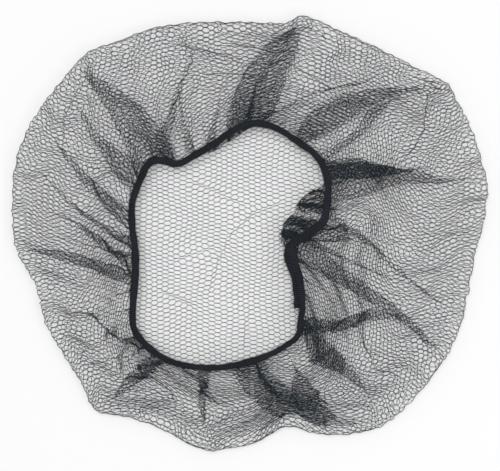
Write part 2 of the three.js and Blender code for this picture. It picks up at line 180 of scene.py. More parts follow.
# How strongly a crease pulls the cells together, and how far from its line, on the crown and on the collar
CROWN_CREASE = (0.72, 0.0026)
COLLAR_CREASE = (0.93, 0.0036)

# How much a crease lifts the net, and over which share of its length it fades beyond and before each end
CREASE_LIFT = 0.0009
CREASE_FADE = 0.15

# A collar of this width keeps its width, whatever the net's give
PLAIN_COLLAR = 0.078

# Rise and shift of the crumpled net in the tuck
CRUMPLE_RISE = 0.0007
CRUMPLE_SHIFT = 0.0012

# Lengths of the waves in the net's unevenness
WANDER_WAVE = 0.04
DRIFT_WAVE = 0.02
RAGGED_WAVE = 0.008
JITTER_WAVES = (0.006, 0.0055)
CRUMPLE_WAVES = (0.006, 0.008)
YARN_WAVE = 0.004

# Least radius that turns the drift into an angle
DRIFT_RADIUS = 0.01

# How unevenly the yarn is spun, as a share of its radius
YARN_UNEVEN = 0.12
YARN_SIDES = 4

# Steps in the flat cloth from which its normals are taken
NORMAL_STEP = 0.0004

# A longer strand would cross a gap between two layers, and is left out
LONGEST_STRAND = 0.03

# The two parts of the collar meet this many degrees to each side of the +X axis
COLLAR_PARTING = 80.0

# Flat size of the crown's cloth, and what the fold and the hem add to the collar's width. The least share of
# its rectangle that a sheet's area is stated as
CROWN_FLAT = (0.29, 0.264)
FOLD_AND_HEM = 0.0145

# The band: stations along it, corners round it, ribs on each side of its middle, air in its lap, and length
# over which its cut ends are rounded
BAND_STATIONS = 1500
BAND_SIDES = 30
BAND_RIBS = 2.5
LAP_AIR = 0.0004
END_ROUNDING = 0.003

# Points on each turn of the stitches, and how far these stand off the band's edge and its faces
STITCH_POINTS = 14
STITCH_OUT = 0.0005
STITCH_UP = 0.0001
STITCH_STRAY = 0.0003

# The fibres: stations along the band, those near a cut end, points on each fibre, its lengths and its sag
FIBRE_STATIONS = 3000
END_STATIONS = 25
FIBRE_POINTS = 7
FIBRE_LENGTHS = (0.0009, 0.0026)
FIBRE_SAG = 0.0007

# Seeds of the yarn's thickness, the band's section, the stitches, the fibres and the band's width
YARN_SEED, SECTION_SEED, STITCH_SEED, FIBRE_SEED, WIDTH_SEED = 31, 41, 51, 61, 71

# Lamps: name, place, size and share of the lamp's power
LAMPS = (
    ("lamp_above", (-0.15, 0.25, 2.6), 1.8, 5.4),
    ("lamp_side", (1.1, -0.7, 1.2), 0.8, 0.5),
)

# Half the floor's side, the camera's sensor in millimetres, and the height that the view's width is meant for
FLOOR_HALF = 4
SENSOR = 36.0
VIEW_HEIGHT = 0.0045

# Width of the photo, and how far above its middle the object's middle lies, in pixels
PHOTO_WIDTH = 500
PIXELS_UP = 2.5


def number(name, description, default, **limits):
    """A number that a user can change."""
    return FloatProperty(name=name, description=description, default=default, **limits)


def metres(name, description, default):
    """A length that a user can change."""
    return number(name, description, default, unit="LENGTH")


def colour(name, description, default):
    """A colour that a user can change."""
    return FloatVectorProperty(name=name, description=description, default=default, subtype="COLOR", size=3)


class HairnetCap(bpy.types.PropertyGroup):
    """The lying bag of net"""

    length: metres("Length", "Footprint along X", 0.3)
    breadth: metres("Breadth", "Footprint along Y", 0.2735)
    fold_bulge: metres("Fold bulge", "How far the outer fold stands past the flat crown", 0.006)
    crown_height: metres("Crown height", "Height of the crown's yarn above the floor", 0.001)
    fold_height: metres("Fold height", "Height of the collar at the outer fold", 0.0068)
    edge_height: metres("Edge height", "Height of the net where it meets the band", 0.0135)
    puff: metres("Puff", "Rise of the collar's middle", 0.003)
    layer_step: metres("Layer step", "Height from one layer of a pleat to the next", 0.0008)
    hem: metres("Hem", "Net under the band on each side of its line", 0.0012)
    tuck: metres("Tuck", "Longest loose tuck inside the loop", 0.02)
    tuck_droop: number("Tuck droop", "Droop of the tuck as a share of its reach", 0.22)
    crumple: number("Crumple", "Net in the tuck, out and back, as a multiple of its reach", 1.9)
    slack: number("Slack", "How much slacker the net lies on one side, as a share", 0.09)
    slack_heading: number("Slack heading", "Where it lies slackest, in degrees", -45.0)
    give: number("Give", "Share of a long collar that comes from stretch", 0.1, min=0, max=1)


class HairnetMesh(bpy.types.PropertyGroup):
    """The honeycomb"""

    cell_width: metres("Cell width", "Pitch of the columns of cells", 0.00366)
    cell_height: metres("Cell height", "Pitch of the cells along a column", 0.00275)
    zigzag: number("Zigzag", "Zigzag of a wall as a share of the cell width", 0.45, min=0.1, max=0.9)
    yarn: metres("Yarn", "Diameter of the yarn", 0.00041)
    wander: metres("Wander", "Slow drift of the cells over the net", 0.0008)
    drift: metres("Drift", "How far the collar's cells stand off from those of the crown", 0.0016)
    ragged: metres("Ragged", "Unevenness of the outer fold", 0.0005)
    jitter: metres("Jitter", "Unevenness from cell to cell", 0.00009)
    slide: number("Slide", "How far the net slides into the pleats, from 0 to 1", 1.0, min=0, max=1)
    crease_pitch: number("Crease pitch", "Degrees from one fine crease to the next", 7.5)
    crease_reach: number("Crease reach", "Degrees that a fine crease shifts the net", 0.8)
    crease_height: metres("Crease height", "Rise of a fine crease", 0.0005)
    seed: IntProperty(name="Seed", description="Seed of the random creases and strays", default=7)


class HairnetBand(bpy.types.PropertyGroup):
    """The elastic band and its edge stitches"""

    width: metres("Width", "Width of the flat band", 0.0041)
    thickness: metres("Thickness", "Thickness of the band", 0.0017)
    lap_start: number("Lap start", "Angle of the section where the band begins", 312.0)
    lap_length: metres("Lap length", "Length of the lapped ends", 0.04)
    lap_ramp: metres("Lap ramp", "Length over which the end climbs", 0.012)
    lap_shift: metres("Lap shift", "Sideways shift of the upper end", 0.0016)
    clearance: metres("Clearance", "Air between the band and the net", 0.0009)
    loop_pitch: metres("Loop pitch", "Pitch of the knitted loops", 0.0011)
    relief: metres("Relief", "Depth of the knitted ribs", 0.00022)
    stitch_pitch: metres("Stitch pitch", "Pitch of the edge stitches", 0.0013)
    uneven: number("Uneven", "How unevenly the band pulls in, as a share of its width", 0.07)
    fibres: IntProperty(name="Fibres", description="Number of loose fibres along the band", default=720)
    fibre: metres("Fibre", "Diameter of a loose fibre", 0.00012)
    thread: metres("Thread", "Diameter of the stitching thread", 0.00024)


class HairnetLooks(bpy.types.PropertyGroup):
    """Colours, and the stage"""

    yarn: colour("Yarn", "Colour of the net's yarn", (0.010, 0.020, 0.029))
    elastic: colour("Elastic", "Colour of the band", (0.0075, 0.0095, 0.0135))
    thread: colour("Thread", "Colour of the stitches", (0.016, 0.017, 0.022))
    floor: colour("Floor", "Colour of the floor", (0.86, 0.86, 0.86))
    eye_height: metres("Eye height", "Height of the camera", 1.2)
    view_width: metres("View width", "Width seen at the outer fold", 0.3158)
    sky: number("Sky", "Strength of the even light from all round", 0.42)
    lamp: number("Lamp", "Power of each soft lamp", 9.0, unit="POWER")


def ease(share):
    """Smooth step from 0 to 1: 3 s^2 - 2 s^3, with s held between 0 and 1."""
    s = np.clip(share, 0, 1)
    return s * s * (3 - 2 * s)


def mix(a, b, share):
    return a + (b - a) * share


def unit(v):
    return v / np.maximum(np.linalg.norm(v, axis=-1, keepdims=True), 1e-12)


def run_lengths(path):
    """Distance along a path up to each of its points."""
    return np.append(0, np.cumsum(np.linalg.norm(np.diff(path, axis=0), axis=1)))


def squarer(wave, power):
    """A sine or cosine with its sign kept and its size raised to a power, which squares a section's corners
    where the power is below 1."""
    return np.sign(wave) * np.abs(wave) ** power


def column(name, angle):
    """A column of the sections table at each angle: a closed Catmull-Rom curve through its rows."""
    at, values = SECTION["at"], SECTION[name]
    count = len(at)
    turned = np.mod(angle, FULL_TURN)
    i = np.searchsorted(at, turned, side="right") - 1
    t = (turned - at[i]) / (np.append(at[1:], FULL_TURN)[i] - at[i])
    a, b, c, d = (values[(i + k) % count] for k in (-1, 0, 1, 2))
    return b + 0.5 * t * (c - a + t * (2 * a - 5 * b + 4 * c - d + t * (3 * (b - c) + d - a)))


def plan_curve(cap, name, angle):
    """Plan position of the rim or the band at each angle, from the shares of half the length and breadth."""
    half = np.array((cap.length, cap.breadth)) / 2
    return np.stack([column(name + "_x", angle), column(name + "_y", angle)], axis=-1) * half


def plan_middle(cap):
    """Middle of the outline's own box, which stands on the origin."""
    outline = plan_curve(cap, "rim", np.linspace(0, FULL_TURN, 1440))
    return (outline.max(axis=0) + outline.min(axis=0)) / 2


def band_outward(cap, angle):
    """Level direction out of the band's loop: its tangent, turned a quarter clockwise."""
    along = plan_curve(cap, "band", angle + 0.5) - plan_curve(cap, "band", angle - 0.5)
    return unit(np.stack([along[..., 1], -along[..., 0]], axis=-1))


def inward(cap, angle):
    """Direction of the net under the band: square to the band, and straight on where the net is tucked."""
    straight = unit(plan_curve(cap, "band", angle) - plan_curve(cap, "rim", angle))
    tucked = np.clip(2 * column("tuck", angle), 0, 1)[..., None]
    return unit(mix(-band_outward(cap, angle), straight, tucked))


def collar_start(cap, angle):
    """Flat radius at which the crown ends, and where the collar starts, half an ellipse further."""
    crown_end = np.linalg.norm(plan_curve(cap, "rim", angle), axis=-1) - cap.fold_bulge
    return crown_end, crown_end + np.pi * (cap.fold_bulge + (cap.fold_height - cap.crown_height) / 2) / 2


def collar_length(cap, angle):
    """Flat width of the collar: its real width, evened out by the net's give. The net lies slacker, and so
    closer, at the slack heading than across from it."""
    real = np.linalg.norm(plan_curve(cap, "rim", angle) - plan_curve(cap, "band", angle), axis=-1)
    slack = 1 + cap.slack * np.cos(np.radians(angle - cap.slack_heading))
    return real * (real / PLAIN_COLLAR) ** -cap.give * slack


def ripple(x, y, length, seed, waves=7):
    """Smooth random field near -1 to 1: a sum of plane waves with random headings and phases, and with
    lengths near the one given."""
    rng = np.random.default_rng(seed)
    heading = rng.uniform(0, 2 * np.pi, waves)
    number = 2 * np.pi / (length * rng.uniform(0.7, 1.4, waves))
    phase = rng.uniform(0, 2 * np.pi, waves)
    field = sum(np.sin(k * (x * np.cos(h) + y * np.sin(h)) + p) for h, k, p in zip(heading, number, phase))
    return field / np.sqrt(waves)


def waver(distance, length, seed):
    """The same random field along a line."""
    return ripple(distance, 0 * distance, length, seed)


def both_ends(table, i):
    """Each row's values in its column i and in the next."""
    return [np.take_along_axis(table, i + k, axis=1)[:, 0] for k in (0, 1)]


def pleated(cap, angle, share):
    """Where the pleats move each column of cloth, and its rise. One after another, each pleat lays its stretch
    of cloth in an S: out to the far edge of the fold, back below itself to the near edge, and on. A point
    keeps its share of the S's length, with the two bends as noses, so the cloth spreads evenly over the three
    layers. The S sinks in by one layer near the outer fold and by two near the band."""
    moved, rise = np.array(angle, dtype=float), np.zeros(len(angle))
    for low, high, *edges in PLEAT_ROWS:
        middle, half = (low + high) / 2, (high - low) / 2
        turned = (np.mod(moved - middle + FULL_TURN / 2, FULL_TURN) - FULL_TURN / 2) / half
        inside = np.flatnonzero((np.abs(turned) < 1) & (share > 0))
        tau, s = turned[inside], share[inside]
        closed = (edges[0] + edges[1]) / 2
        near, far = (np.interp(s, PLEAT_SHARES, (closed, *edges[k::2])) for k in (0, 1))
        centre, over = ((near + far) / 2 - middle) / half, (far - near) / 2 / half
        stretch = half * mix(*DEGREE_LENGTHS, s)
        nose = np.minimum(over, cap.layer_step / stretch)
        low_end, high_end = centre - over, centre + over
        bends = (high_end - nose, high_end, high_end - nose, low_end + nose, low_end, low_end + nose)
        place = np.stack([np.full(len(s), -1), *bends, np.ones(len(s))], axis=1)
        sunk = PLEAT_INSIDE * mix(1, 2, ease((s - 0.6) / 0.4))[:, None]
        lift = cap.layer_step * ease(over * half / FULL_PLEAT)[:, None] * (PLEAT_LAYERS - sunk)
        steps = np.hypot(np.diff(place, axis=1) * stretch[:, None], np.diff(lift, axis=1))
        reached = np.cumsum(steps, axis=1)
        along = np.concatenate([np.zeros((len(s), 1)), reached], axis=1) * 2 / reached[:, -1:] - 1
        i = (along[:, 1:-1] <= tau[:, None]).sum(axis=1)[:, None]
        start, end = both_ends(along, i)
        t = (tau - start) / np.maximum(end - start, 1e-9)
        moved[inside] += half * (mix(*both_ends(place, i), t) - tau)
        rise[inside] += mix(*both_ends(lift, i), t)
    return moved, rise


def slide_table(cap, net):
    """How the cloth slides along into the pleats, for each share of the way to the band and each angle. The
    collar's path there, over all its folds, has a length up to each column, and so has the flat cloth. A
    column goes where both have run through the same share of their rounds, with the turn that moves the
    columns least. The slides are evened out from share to share and begin with none at the outer fold."""
    angle = np.linspace(0, FULL_TURN, SLIDE_ANGLES)
    shares = np.linspace(0, 1, SLIDE_SHARES)
    start = collar_start(cap, angle)[1]
    length = collar_length(cap, angle)
    slides = []
    for share in shares:
        folded = pleated(cap, angle, np.full(len(angle), share))[0]
        run = run_lengths(mix(plan_curve(cap, "rim", folded), plan_curve(cap, "band", folded), share))
        cut = np.append(0, np.cumsum((start + length * share)[1:]))
        turn = 0.0
        for _ in range(SLIDE_ROUNDS):
            goal = cut / cut[-1] + turn
            moved = np.interp(np.mod(goal, 1), run / run[-1], angle) + FULL_TURN * np.floor(goal)
            turn -= (moved - angle).mean() / FULL_TURN
        slides.append(moved - angle)
    margin = SLIDE_EVENED // 2
    slides = np.pad(np.array(slides), ((margin, margin), (0, 0)), mode="edge")
    even = np.cumsum(np.concatenate([np.zeros((1, slides.shape[1])), slides]), axis=0)
    slides = (even[SLIDE_EVENED:] - even[:-SLIDE_EVENED]) / SLIDE_EVENED
    return slides * (net.slide * ease(2 * shares))[:, None]


def slid(table, angle, share):
    """Angle of each column after the slide, by straight mixes between the rows and columns of the table."""
    rows, columns = np.array(table.shape) - 1
    r, c = np.clip(share, 0, 1) * rows, np.mod(angle, FULL_TURN) / FULL_TURN * columns
    i, j = np.minimum(r.astype(int), rows - 1), np.minimum(c.astype(int), columns - 1)
    near, far = (mix(table[i + k, j], table[i + k, j + 1], c - j) for k in (0, 1))
    return angle + mix(near, far, r - i)


def creased(net, angle, share):
    """Fine gathers as a snake curve in each column: the sideways shift goes twice as fast as the rise, so that
    a strong crease turns over on itself without meeting itself. They come and go in patches round the collar
    and grow towards the band. Returns the shift and the rise."""
    patches = np.clip(0.3 + 0.45 * ripple(angle, share * 20, 38, net.seed), 0.05, 1.0)
    strength = patches * ease((share - 0.12) / 0.95) ** 0.8 + 0.8 * ease((share - 0.86) / 0.14)
    bend = ripple(angle, share * 30, 24, net.seed + 1)
    phase = 2 * np.pi * angle / net.crease_pitch + 0.9 * bend
    return net.crease_reach * strength * np.sin(2 * phase), net.crease_height * strength * np.cos(phase)


def crease_lines(cap):
    """Both ends of every crease in the flat cloth, as x0, y0, x1, y1, then its pull and its reach."""
    crown = np.array(CROWN_CREASES) + np.tile(plan_middle(cap), 2)
    ends = []
    for angle, share in np.array(COLLAR_CREASES).reshape(-1, 2, 2).transpose(1, 2, 0):
        radius = collar_start(cap, angle)[1] + share * collar_length(cap, angle)
        ends += [radius * np.cos(np.radians(angle)), radius * np.sin(np.radians(angle))]
    lines = np.concatenate([crown, np.stack(ends, axis=1)])
    kinds = np.repeat((CROWN_CREASE, COLLAR_CREASE), (len(CROWN_CREASES), len(COLLAR_CREASES)), axis=0)
    return np.concatenate([lines, kinds], axis=1)


def pinched(cap, x, y):
    """The creases that cross the net. Beside each, points move towards its line by a Gaussian of their
    distance, which draws the cells together there, and the net rises a little. The pull fades at both ends.
    Returns the moved places and the rise."""
    lift = np.zeros_like(x)
    for x0, y0, x1, y1, strength, reach in crease_lines(cap):
        length = np.hypot(x1 - x0, y1 - y0)
        ux, uy = (x1 - x0) / length, (y1 - y0) / length
        along, off = ((x - x0) * ux + (y - y0) * uy) / length, (y - y0) * ux - (x - x0) * uy
        pull = np.exp(-((off / reach) ** 2))
        for from_end in (along, 1 - along):
            pull = pull * ease((from_end + CREASE_FADE) / (2 * CREASE_FADE))
        x, y = x + uy * off * pull * strength, y - ux * off * pull * strength
        lift = lift + CREASE_LIFT * pull
    return x, y, lift


def fold_points(cap, net, x, y, angle, turn):
    """Half an ellipse from the crown to the collar, where turn goes from 0 to pi. Its edge is a little ragged,
    and the columns drift off from those of the crown. Returns the points, and the angles with the drift."""
    ragged = net.ragged * np.sin(turn) * ripple(x, y, RAGGED_WAVE, net.seed + 6)
    aside = net.drift * ripple(x, y, DRIFT_WAVE, net.seed + 7) / np.hypot(x, y).clip(DRIFT_RADIUS)
    drifted = angle + np.degrees(aside) * ease(turn / np.pi)
    rim = plan_curve(cap, "rim", drifted)
    out = np.linalg.norm(rim, axis=-1) - cap.fold_bulge + cap.fold_bulge * np.sin(turn) + ragged
    height = mix(cap.crown_height, cap.fold_height, (1 - np.cos(turn)) / 2)
    return np.column_stack([unit(rim) * out[:, None], height]), drifted


def collar_points(cap, net, slide, x, y, angle, beyond, length, pinch_lift):
    """The collar runs level with the line from rim to band, beyond being the flat way since its start. It
    passes under the band, and inside the loop the tuck goes out and doubles back below itself, crumpled.
    Returns the points, and how far past the net's end each lies, which is below 0 before it."""
    share = np.clip(beyond / length, 0, 1)
    spread = slid(slide, angle, share)
    shift, lift = creased(net, spread, share)
    moved, rise = pleated(cap, spread + shift, share)
    rise = rise + lift + pinch_lift
    outer = plan_curve(cap, "rim", moved)
    outer = outer - unit(outer) * cap.fold_bulge
    under = inward(cap, moved)
    plan = mix(outer, plan_curve(cap, "band", moved) - under * cap.hem, share[:, None])
    seam = cap.edge_height * column("lift", moved)
    height = mix(cap.fold_height, seam, ease(share)) + cap.puff * np.sin(np.pi * share) ** 2 + rise

    tuck = np.maximum(column("tuck", moved), 0)
    doubled = np.clip(3 * tuck, 0, 1)
    reach = 2 * cap.hem + tuck * cap.tuck
    hem_length = 2 * cap.hem + cap.crumple * tuck * cap.tuck
    past = np.clip((beyond - length) / hem_length, 0, 1)
    out = mix(past, 1 - np.abs(1 - 2 * past), doubled) * reach
    below = 1.5 * cap.layer_step * doubled * ease((past - 0.4) / 0.2)
    height = height - cap.tuck_droop * out**2 / reach - below
    crumpled = doubled * ease(6 * past)
    height = height + crumpled * CRUMPLE_RISE * ripple(x, y, CRUMPLE_WAVES[0], net.seed + 8)
    aside = crumpled * CRUMPLE_SHIFT * ripple(x, y, CRUMPLE_WAVES[1], net.seed + 9)
    plan = plan + under * out[:, None] + aside[:, None]
    return np.column_stack([plan, height]), beyond - length - hem_length


def cloth(cap, net, slide, x, y):
    """The bag as a map of the flat cloth: the crown stays where it is, and past it the cloth goes over the
    fold and runs in as the collar. Returns the points, and how far past the net's end each lies."""
    x, y, pinch_lift = pinched(cap, x, y)
    angle, radius = np.mod(np.degrees(np.arctan2(y, x)), FULL_TURN), np.hypot(x, y)
    crown_end, start = collar_start(cap, angle)
    crown = np.column_stack([x, y, cap.crown_height + pinch_lift])
    turn = np.pi * np.clip((radius - crown_end) / (start - crown_end), 0, 1)
    fold, drifted = fold_points(cap, net, x, y, angle, turn)
    length = collar_length(cap, angle)
    collar, past = collar_points(cap, net, slide, x, y, drifted, radius - start, length, pinch_lift)
    points = np.where((radius < crown_end)[:, None], crown, np.where((radius < start)[:, None], fold, collar))
    points[:, :2] -= plan_middle(cap)
    return points, past


def mesh_piece(name, points, faces, material, replaced=()):
    """A smooth mesh from whole arrays, which rides on the body and carries its material."""
    mesh = bpy.data.meshes.new(name)
    mesh.from_pydata(np.asarray(points).tolist(), [], faces)
    mesh.polygons.foreach_set("use_smooth", np.ones(len(mesh.polygons), dtype=bool))
    mesh.update()
    piece = bpy.data.objects.new(name, mesh)
    bpy.context.collection.objects.link(piece)
    mesh.materials.append(material)
    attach(piece, "root")
    if replaced:
        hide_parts(*replaced)
    return piece


def rings(points, tangent, normal, radius):
    """A ring of corners about each point, square to the tangent: p + r (cos a side + sin a up)."""
    side = unit(np.cross(normal, tangent))
    up = np.cross(tangent, side)
    a = np.arange(YARN_SIDES) * 2 * np.pi / YARN_SIDES
    spokes = np.cos(a)[:, None] * side[..., None, :] + np.sin(a)[:, None] * up[..., None, :]
    return points[..., None, :] + radius[..., None, None] * spokes


def tube_faces(first, second, sides=YARN_SIDES):
    """Quads between two rings of corner numbers, facing out when the second ring is further along."""
    a, b = first[:, None] + np.arange(sides), second[:, None] + np.arange(sides)
    return np.stack([a, np.roll(a, -1, axis=1), np.roll(b, -1, axis=1), b], axis=-1).reshape(-1, 4)


def cap_faces(ring, reverse):
    """The quad that closes each ring, turned over at a tube's start."""
    faces = ring[:, None] + np.arange(YARN_SIDES)
    return faces[:, ::-1] if reverse else faces


def closed_tubes(points, tangent, normal, radius):
    """Corners and quads of a tube along each row of points, closed at both ends."""
    count, length = points.shape[:2]
    corners = rings(points, tangent, normal, radius).reshape(-1, 3)
    start = np.arange(count) * length * YARN_SIDES
    first = (start[:, None] + np.arange(length - 1) * YARN_SIDES).ravel()
    end = start + (length - 1) * YARN_SIDES
    faces = [tube_faces(first, first + YARN_SIDES), cap_faces(start, True), cap_faces(end, False)]
    return corners, np.concatenate(faces)


def honeycomb(cap, net, slide):
    """The lattice of the flat net: zigzag walls along Y, each joined to the next by short links along X, so
    that the cells stand in columns with their points left and right. Returns the flat places, the points on
    the bag, its normals, where there is net, and which corners a link starts from."""
    angle = np.arange(0, FULL_TURN, 1.0)
    collar_end = (collar_start(cap, angle)[1] + collar_length(cap, angle)).max()
    reach = collar_end + 2 * cap.hem + cap.crumple * cap.tuck
    walls, steps = int(reach / net.cell_width), int(2 * reach / net.cell_height)
    i, j = np.meshgrid(np.arange(-steps, steps + 1), np.arange(-walls, walls + 1))
    far = (i + j) % 2 == 0
    x = j * net.cell_width + np.where(far, 0.5, -0.5) * net.zigzag * net.cell_width
    y = i * net.cell_height / 2

    def strayed(place, wave, seed):
        slow, quick = ripple(x, y, WANDER_WAVE, seed), ripple(x, y, wave, seed + 1)
        return place + net.wander * slow + net.jitter * quick

    x = strayed(x, JITTER_WAVES[0], net.seed + 2)
    y = strayed(y, JITTER_WAVES[1], net.seed + 4)
    flat_x, flat_y = x.ravel(), y.ravel()
    points, past = cloth(cap, net, slide, flat_x, flat_y)
    right, _ = cloth(cap, net, slide, flat_x + NORMAL_STEP, flat_y)
    back, _ = cloth(cap, net, slide, flat_x, flat_y + NORMAL_STEP)
    normal = unit(np.cross(right - points, back - points))
    shape = x.shape
    return x, y, points.reshape(*shape, 3), normal.reshape(*shape, 3), (past < 0).reshape(shape), far


def net_zones(cap, x, y):
    """Name of the piece that the net at each flat place belongs to."""
    angle = np.mod(np.degrees(np.arctan2(y, x)), FULL_TURN)
    on_crown = np.hypot(x, y) < collar_start(cap, angle)[0]
    right = (angle < COLLAR_PARTING) | (angle > FULL_TURN - COLLAR_PARTING)
    return np.where(on_crown, "net_crown", np.where(right, "net_collar_right", "net_collar_left"))


def net_part(cap, lattice, name, radius):
    """Closed tubes for the yarn of one part of the net: each wall's zigzag as runs of tube with a ring at
    every corner, and each link as a tube of its own. Returns points, faces and the yarn's flat length."""
    x, y, points, normal, there, far = lattice
    number = np.arange(x.size).reshape(x.shape) * YARN_SIDES
    tangent = unit(np.gradient(points, axis=1))
    thick = radius * (1 + YARN_UNEVEN * ripple(x, y, YARN_WAVE, YARN_SEED))
    corners = rings(points, tangent, normal, thick).reshape(-1, 3)

    def strands(first, second):
        """Which of the pairs of neighbours are joined by a strand of this part."""
        here = net_zones(cap, (x[first] + x[second]) / 2, (y[first] + y[second]) / 2) == name
        apart = np.linalg.norm(points[first] - points[second], axis=-1)
        return there[first] & there[second] & here & (apart < LONGEST_STRAND)

    low, high = np.s_[:, :-1], np.s_[:, 1:]
    run = strands(low, high)
    before = np.pad(run[:, :-1], ((0, 0), (1, 0)))
    after = np.pad(run[:, 1:], ((0, 0), (0, 1)))
    faces = [
        tube_faces(number[low][run], number[high][run]),
        cap_faces(number[low][run & ~before], True),
        cap_faces(number[high][run & ~after], False),
    ]
    yarn = np.hypot(x[low] - x[high], y[low] - y[high])[run].sum()

    left, right = np.s_[:-1, :], np.s_[1:, :]
    link = strands(left, right) & far[left]
    ends = np.stack([points[left][link], points[right][link]], axis=1)
    way = unit(ends[:, 1:] - ends[:, :1])
    up = unit(normal[left][link] + normal[right][link])[:, None]
    link_corners, link_faces = closed_tubes(ends, way, up, thick[left][link][:, None])
    yarn += np.hypot(x[left] - x[right], y[left] - y[right])[link].sum()

    faces = np.concatenate([*faces, link_faces + len(corners)])
    used, faces = np.unique(faces, return_inverse=True)
    return np.concatenate([corners, link_corners])[used], faces.reshape(-1, 4), yarn


def set_inputs(node, inputs):
    """Sets each named input of a node to a value, or links it from a socket."""
    for name, value in inputs.items():
        if isinstance(value, bpy.types.NodeSocket):
            node.id_data.links.new(value, node.inputs[name])
        else:
            node.inputs[name].default_value = value


def shader_node(tree, kind, inputs, place, **settings):
    node = tree.nodes.new(kind)
    node.location = place
    for name, value in settings.items():
        setattr(node, name, value)
    set_inputs(node, inputs)
    return node


def new_material(name):
    """A new material, and its shader."""
    material = bpy.data.materials.new(name)
    material.use_nodes = True
    return material, material.node_tree.nodes["Principled BSDF"]


def fibre_group():
    """Node group of spun fibre: fine fuzz on the surface, and tone that drifts from yarn to yarn.
    Inputs are the colour, the fuzz's size in waves per metre and how far the tone drifts."""
    group = bpy.data.node_groups.get("Spun fibre")
    if group:
        return group
    group = bpy.data.node_groups.new("Spun fibre", "ShaderNodeTree")
    face = group.interface
    face.new_socket("Colour", in_out="INPUT", socket_type="NodeSocketColor")
    for name, default in (("Fuzz Scale", 4000.0), ("Fuzz Depth", 0.0001), ("Drift", 0.3), ("Roughness", 0.6)):
        face.new_socket(name, in_out="INPUT", socket_type="NodeSocketFloat").default_value = default
    for name, kind in (("Colour", "Color"), ("Roughness", "Float"), ("Normal", "Vector")):
        face.new_socket(name, in_out="OUTPUT", socket_type="NodeSocket" + kind)
    given = shader_node(group, "NodeGroupInput", {}, (-900, 0)).outputs
    where = shader_node(group, "ShaderNodeTexCoord", {}, (-900, -300)).outputs["Object"]

    def noise(scale, detail, place):
        inputs = {"Vector": where, "Scale": scale, "Detail": detail}
        return shader_node(group, "ShaderNodeTexNoise", inputs, place).outputs["Fac"]

    def multiply_add(first, factor, term, place, clamp=False):
        settings = {"operation": "MULTIPLY_ADD", "use_clamp": clamp}
        return shader_node(group, "ShaderNodeMath", {0: first, 1: factor, 2: term}, place, **settings).outputs[0]

    fuzz = noise(given["Fuzz Scale"], 3.0, (-650, -100))
    range_inputs = {"From Min": 0.3, "From Max": 0.7, "To Min": -1.0, "To Max": 1.0}
    range_inputs["Value"] = noise(70.0, 2.0, (-650, -400))
    spread = shader_node(group, "ShaderNodeMapRange", range_inputs, (-450, -400)).outputs["Result"]
    speck = multiply_add(fuzz, 0.9, spread, (-260, -300))
    gain = multiply_add(speck, given["Drift"], 1.0, (-80, -300))
    tint_inputs = {0: given["Colour"], "Scale": gain}
    tint = shader_node(group, "ShaderNodeVectorMath", tint_inputs, (120, 100), operation="SCALE").outputs[0]
    rough = multiply_add(fuzz, 0.25, given["Roughness"], (120, -150), clamp=True)
    bump_inputs = {"Height": fuzz, "Distance": given["Fuzz Depth"], "Strength": 0.8}
    bump = shader_node(group, "ShaderNodeBump", bump_inputs, (120, -400)).outputs[0]
    shader_node(group, "NodeGroupOutput", {"Colour": tint, "Roughness": rough, "Normal": bump}, (350, 0))
    return group


def fibre_material(name, tint, scale, depth, drift, roughness, sheen):
    """A cloth fibre: the shared group drives colour, roughness and normal, and the shader adds the sheen."""
    material = bpy.data.materials.get(name)
    if material:
        return material
    material, shader = new_material(name)
    inputs = {"Colour": (*tint, 1.0), "Fuzz Scale": scale, "Fuzz Depth": depth, "Drift": drift}
    inputs["Roughness"] = roughness
    place = (-260, 200)
    fibre = shader_node(material.node_tree, "ShaderNodeGroup", inputs, place, node_tree=fibre_group()).outputs
    set_inputs(shader, {"Base Color": fibre["Colour"], "Roughness": fibre["Roughness"], "Normal": fibre["Normal"]})
    set_inputs(shader, {"Specular IOR Level": 0.2, "Sheen Weight": sheen, "Sheen Roughness": 0.4})
    return material


def yarn_material(looks):
    """Fine nylon with a faint sheen."""
    return fibre_material(
        "Black nylon yarn", looks.yarn, scale=3800.0, depth=0.00006, drift=0.22, roughness=0.45, sheen=0.1
    )


def elastic_material(looks):
    """Matt knitted elastic with coarser fuzz."""
    return fibre_material(
        "Knitted elastic", looks.elastic, scale=2600.0, depth=0.00012, drift=0.3, roughness=0.8, sheen=0.0
    )


def thread_material(looks):
    """The thread of the stitches, which the loose fibres share."""
    return fibre_material(
        "Stitching thread", looks.thread, scale=3800.0, depth=0.00005, drift=0.25, roughness=0.5, sheen=0.15
    )


class HAIRNET_OT_net(bpy.types.Operator):
    """Build the honeycomb net: the crown, and the two parts of the collar"""

    bl_idname = "hairnet.net"
    bl_label = "Honeycomb Net"

    def execute(self, context):
        scene = context.scene
        cap, net = scene.hairnet_cap, scene.hairnet_mesh
        lattice = honeycomb(cap, net, slide_table(cap, net))
        # The collar's flat sizes: its mean width, and the cloth's way round at its middle before the pleats
        angle = np.arange(0, FULL_TURN, 5)
        collar = collar_length(cap, angle).mean() + FOLD_AND_HEM
        middle = (collar_start(cap, angle)[0].mean() + collar / 2) * 2 * np.pi
        right = 2 * COLLAR_PARTING / FULL_TURN
        flats = {
            "net_crown": CROWN_FLAT,
            "net_collar_right": (middle * right, collar),
            "net_collar_left": (middle * (1 - right), collar),
        }
        material = yarn_material(scene.hairnet_looks)
        for name, (width, length) in flats.items():
            points, faces, yarn = net_part(cap, lattice, name, net.yarn / 2)
            piece = mesh_piece(name, points, faces.tolist(), material, ("net_cap",))
        return {"FINISHED"}


